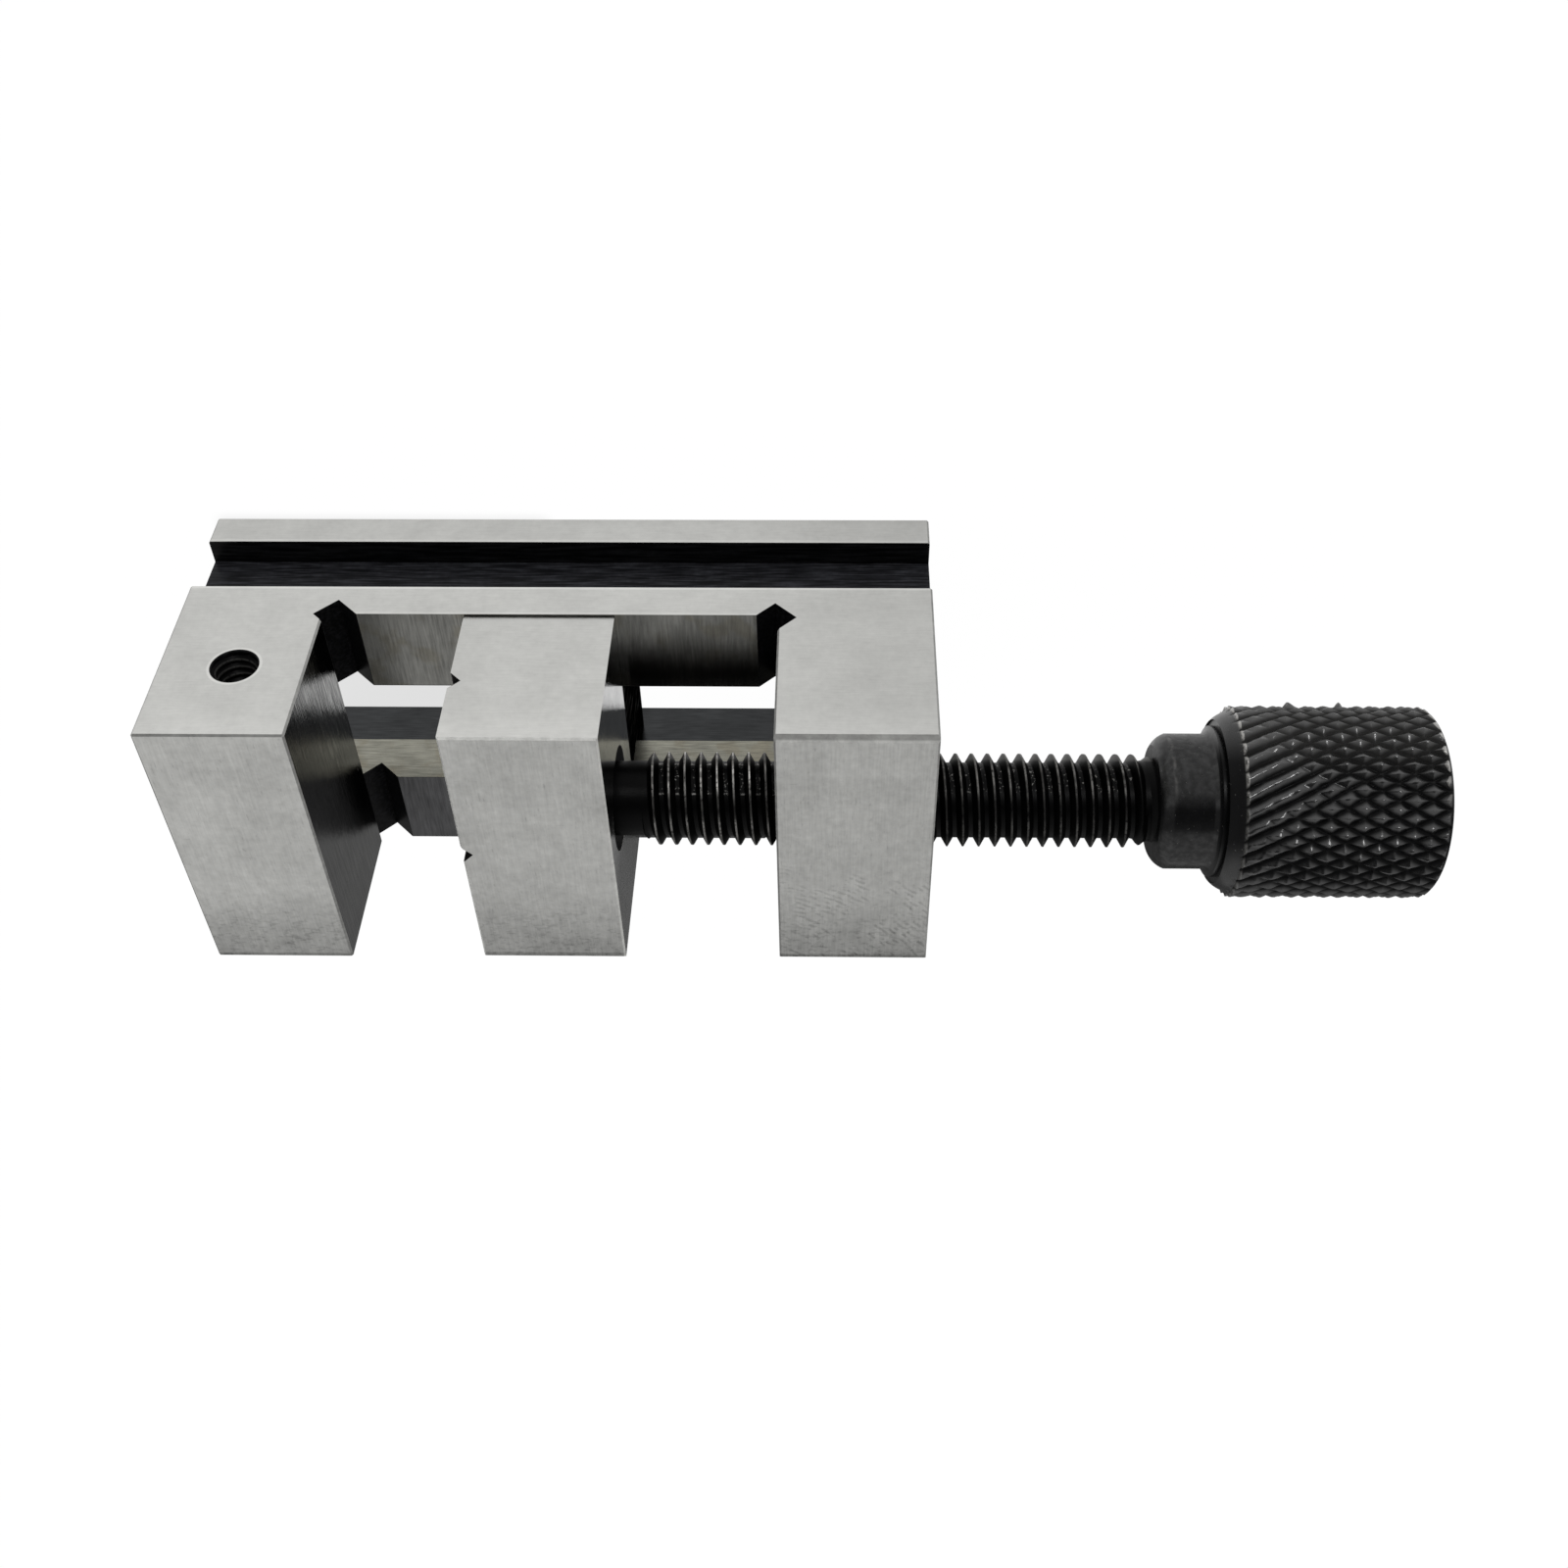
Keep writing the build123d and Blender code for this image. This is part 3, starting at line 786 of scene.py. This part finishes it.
def knurled_black():
    """The finish of collar and knob, worn at the collar's edge and the first and highest knurls, with
    painted highlights on the upper side and glints at the knob's end.
    """
    spindle, knob = bpy.context.scene.vise_spindle, bpy.context.scene.vise_knob
    radius = (SCREW_HIGH.z - SCREW_AXIS) / MM
    start = (JAW_HIGH.x + spindle.neck_length + spindle.thread_length) / MM
    edge = start + knob.collar_front_length / MM
    neck = start + knob.collar_length / MM
    grip = neck + knob.front_length / MM
    end = SCREW_HIGH.x / MM

    def wear_and_highlights(f, grain):
        # Painted highlights: the collar's edge, the first knurls, the crests and the knob's end lit most on
        # the upper side, and the upper knurls made lighter
        up = painted_light_side(f).above(1, 2)
        line = f.x.between(edge - 0.1, edge + 0.1, 0.1) * f.noise(f.place, 1.2, 3).above(0.5, 0.1)
        teeth = f.x.between(grip - 0.05, grip + 0.2, 0.05) * f.from_axis().above(radius - 0.3, 0.1)
        crest = f.from_axis().above(radius + 0.005, 0.02) * (0.5 + 0.5 * f.x.above(grip + 4, 2))
        rounding = (f.x - (end - knob.end_rounding / MM)) | 0.0
        last = (f.from_axis() + 0.55 * rounding).above(radius - 0.03, 0.03) \
            * f.x.between(end - 1.4, end - 0.3, 0.1)
        specks = grain.above(0.7, 0.03) * f.x.below(grip)
        painted_upper_light = painted_light_side(f).above(3, 2) * f.x.above(grip)
        return (0.2 * line * up | teeth * grain.above(0.42, 0.1) * (0.2 + 0.8 * up)
                | crest * grain.above(0.6, 0.06) * (0.2 + 0.4 * up) | 0.3 * specks
                | 0.9 * last * up * f.noise(f.place, 1.2, 1).above(0.48, 0.06) | 0.05 * painted_upper_light)

    def gloss(f):
        film = 0.3 + 0.3 * f.noise(f.place, 2.2, 3).above(0.55, 0.25)
        # Painted reflections in the coat: thinner in a band just below the collar's middle as seen, for a
        # painted dark band,
        # and thicker at the top and bottom of the knob's front as seen, for painted lighter reflections
        painted_dark_band = 1 - 0.75 * painted_light_side(f).between(-2.4, -0.5, 0.4)
        front = 0.03 + 0.55 * abs(painted_light_side(f)).above(4.2, 1.5)
        return (f.x.below(neck) * film * painted_dark_band + f.x.between(neck, grip) * front
                + f.x.above(grip) * f.from_axis().above(radius - 0.2, 0.15))
    return blackened("knurled_black", wear_and_highlights, 0.6, 0.08, gloss)


def tapped_black():
    """The finish inside the tapped hole, with lighter crests."""
    def wear_and_highlights(f, grain):
        return f.from_stop_hole().below(1.56, 0.05) * 0.1 * grain.above(0.4, 0.1)
    return blackened("tapped_black", wear_and_highlights, 0.2, 0.05)


def milled_keeper():
    """The dark steel of the keeper, with a few lighter strokes."""
    return blackened("milled_keeper", lambda f, grain: f.stretched(0.25, 3.0, "z").above(0.62, 0.06) * 0.12,
                     0.5, 0.0)


def ground_pin():
    """The bright steel of the retaining pins."""
    f = Finish("ground_pin")
    grain = f.noise(f.place, 8.0, 3)
    colour = f.mix(grain, (0.5, 0.5, 0.49), (0.62, 0.62, 0.61))
    return f.surface(colour, 0.2 + 0.1 * grain, 1.0)


class VISE_OT_finish(bpy.types.Operator):
    """Gives the vise's solid pieces their finishes"""
    bl_idname = "vise.finish"
    bl_label = "Finishes"

    def execute(self, context):
        screws = blackened("blackened_screw", lambda f, grain: grain.above(0.7, 0.05) * 0.5, 1.0, 0.3)
        pins = ground_pin()
        made = {
            "vise_body": ground_steel("ground_body", body_smoother_places, body_black_places, body_edges,
                                      body_painted_highlights),
            "movable_jaw": ground_steel("ground_jaw", jaw_smoother_places, jaw_black_places, jaw_edges),
            "keeper_block": milled_keeper(),
            "keeper_screw_front": screws, "keeper_screw_rear": screws,
            "retaining_pin_left": pins, "retaining_pin_right": pins,
        }
        for name, material in made.items():
            node = frame["nodes"][name]
            node.data.materials.clear()
            node.data.materials.append(material)
        return {"FINISHED"}


class VISE_OT_stage(bpy.types.Operator):
    """Adds the floor, the light and the camera"""
    bl_idname = "vise.stage"
    bl_label = "Stage"

    CAMERA_PLACE = (0.001935, 0.09802, 0.11221)
    CAMERA_RIGHT = Vector((0.99978918, -0.0106288, -0.0175677))
    CAMERA_DOWN = Vector((0.00534094, -0.69151902, 0.72233851))
    CAMERA_SHIFT = (-0.00825, 0.00425)
    # Directions of the room's dark and its light part and of the window
    OVERHEAD, LEFT, WINDOW = (0.0, 0.45, 0.893), (-0.5, -0.6, 0.62), (0.25, 0.88, 0.4)
    # The paper's glow, how much of it is seen, and how much less under the vise's front
    GLOW, SEEN, SHADED = 1.03, 0.96, 0.25

    def execute(self, context):
        stage = context.scene.vise_stage
        self.add_floor(stage)
        self.light_room(context.scene, stage)
        self.add_camera(context.scene, stage)
        context.scene.view_settings.view_transform = "Standard"
        return {"FINISHED"}

    def add_floor(self, stage):
        """Lays the paper that the vise stands on."""
        bm = bmesh.new()
        bmesh.ops.create_grid(bm, x_segments=1, y_segments=1, size=stage.floor_size / 2)
        mesh = bpy.data.meshes.new("floor")
        bm.to_mesh(mesh)
        bm.free()
        floor = bpy.data.objects.new("floor", mesh)
        bpy.context.scene.collection.objects.link(floor)
        mesh.materials.append(self.floor_material(stage))

    def floor_material(self, stage):
        """White paper that shows only a faint shadow, and a painted shadow that only metal sees: for glossy
        rays it is dimmer behind the vise, close to it, at its right and under it."""
        f = Finish("white_paper")
        rays = f.add("LightPath").socket.node.outputs
        glossy = Value(f, rays["Is Glossy Ray"])
        seen = Value(f, rays["Is Camera Ray"]) | glossy | Value(f, rays["Is Transmission Ray"])
        low, high = BODY_LOW / MM, BODY_HIGH / MM
        behind = f.y.below(low.y, 6)
        close = f.y.between(high.y, high.y + 3.5, 2)
        right = f.x.above(high.x - 10, 8)
        under = f.y.between(low.y, high.y, 1) * f.x.between(low.x, high.x, 1)
        under_front = under * f.x.below(JAW_LOW.x / MM + 5, 1)
        # Painted shadow, seen only in glossy rays: the paper dimmer behind the vise, close to its +Y side,
        # at its right and under it
        dim = stage.far_floor * behind + 0.12 * close + 0.12 * right + 0.26 * (under - under_front)
        paper = f.add("BsdfDiffuse", inputs={"Color": (0.8, 0.8, 0.8, 1)})
        white = f.add("Emission", inputs={"Color": (1, 1, 1, 1), "Strength": self.GLOW - dim * glossy})
        share = seen * (self.SEEN - self.SHADED * under_front)
        f.finish("OutputMaterial", f.add("MixShader", inputs={0: share, 1: paper, 2: white}))
        return f.material

    def light_room(self, scene, stage):
        """An even pale room, dark overhead where the camera is, and lighter to the left behind the vise."""
        scene.world = bpy.data.worlds.new("room")
        scene.world.use_nodes = True
        w = Nodes(scene.world.node_tree)
        direction = w.add("TexCoord", output="Generated")
        _, y, z = w.separate(direction)
        overhead = w.dot(direction, self.OVERHEAD).above(0.87, 0.1)
        left = w.dot(direction, self.LEFT).above(0.965, 0.05)
        low = z.below(0.66, 0.08) * y.below(-0.3, 0.3)
        shade = 0.8 - 0.74 * overhead + 0.32 * left - 0.13 * low
        w.finish("OutputWorld", w.add("Background", inputs={
            "Color": (1, 1, 1, 1), "Strength": shade * stage.light}))
        window = bpy.data.objects.new("window", bpy.data.lights.new("window", "SUN"))
        window.data.energy = stage.window
        window.data.angle = radians(12)
        window.rotation_euler = Vector(self.WINDOW).to_track_quat("Z", "Y").to_euler()
        scene.collection.objects.link(window)

    def add_camera(self, scene, stage):
        """Looks down on the vise from its +Y side, rolled so that the knob stays at the right."""
        camera = bpy.data.objects.new("camera", bpy.data.cameras.new("camera"))
        camera.data.lens = stage.lens
        camera.data.shift_x, camera.data.shift_y = self.CAMERA_SHIFT
        camera.data.clip_start = 0.001
        back = self.CAMERA_RIGHT.cross(-self.CAMERA_DOWN)
        turn = Matrix((self.CAMERA_RIGHT, -self.CAMERA_DOWN, back)).transposed()
        camera.matrix_world = Matrix.Translation(self.CAMERA_PLACE) @ turn.to_4x4()
        scene.collection.objects.link(camera)
        scene.camera = camera


class VISE_PT_panel(bpy.types.Panel):
    """Lists what dresses the vise"""
    bl_idname = "VISE_PT_panel"
    bl_label = "Toolmaker's Vise"
    bl_space_type = "VIEW_3D"
    bl_region_type = "UI"
    bl_category = "Vise"

    def draw(self, context):
        for operator, settings in STEPS:
            box = self.layout.box()
            box.operator(operator)
            group = getattr(context.scene, settings)
            for prop in group.__annotations__:
                box.prop(group, prop)


STEPS = (
    ("vise.finish", "vise_finish"),
    ("vise.spindle", "vise_spindle"),
    ("vise.knob", "vise_knob"),
    ("vise.stop_thread", "vise_stop_thread"),
    ("vise.stage", "vise_stage"),
)
GROUPS = {
    "vise_finish": FinishSettings,
    "vise_spindle": SpindleSettings,
    "vise_knob": KnobSettings,
    "vise_stop_thread": StopThreadSettings,
    "vise_stage": StageSettings,
}
CLASSES = (*GROUPS.values(), VISE_OT_finish, VISE_OT_spindle, VISE_OT_knob, VISE_OT_stop_thread,
           VISE_OT_stage, VISE_PT_panel)


def register():
    """Adds the classes to Blender and their settings to its scenes."""
    for cls in CLASSES:
        bpy.utils.register_class(cls)
    for name, group in GROUPS.items():
        setattr(bpy.types.Scene, name, PointerProperty(type=group))


def unregister():
    """Takes the settings and the classes out again."""
    for name in GROUPS:
        delattr(bpy.types.Scene, name)
    for cls in reversed(CLASSES):
        bpy.utils.unregister_class(cls)


def main():
    """Dresses the vise."""
    register()
    bpy.ops.vise.finish()
    bpy.ops.vise.spindle()
    bpy.ops.vise.knob()
    bpy.ops.vise.stop_thread()
    bpy.ops.vise.stage()


if __name__ == "__main__":
    main()
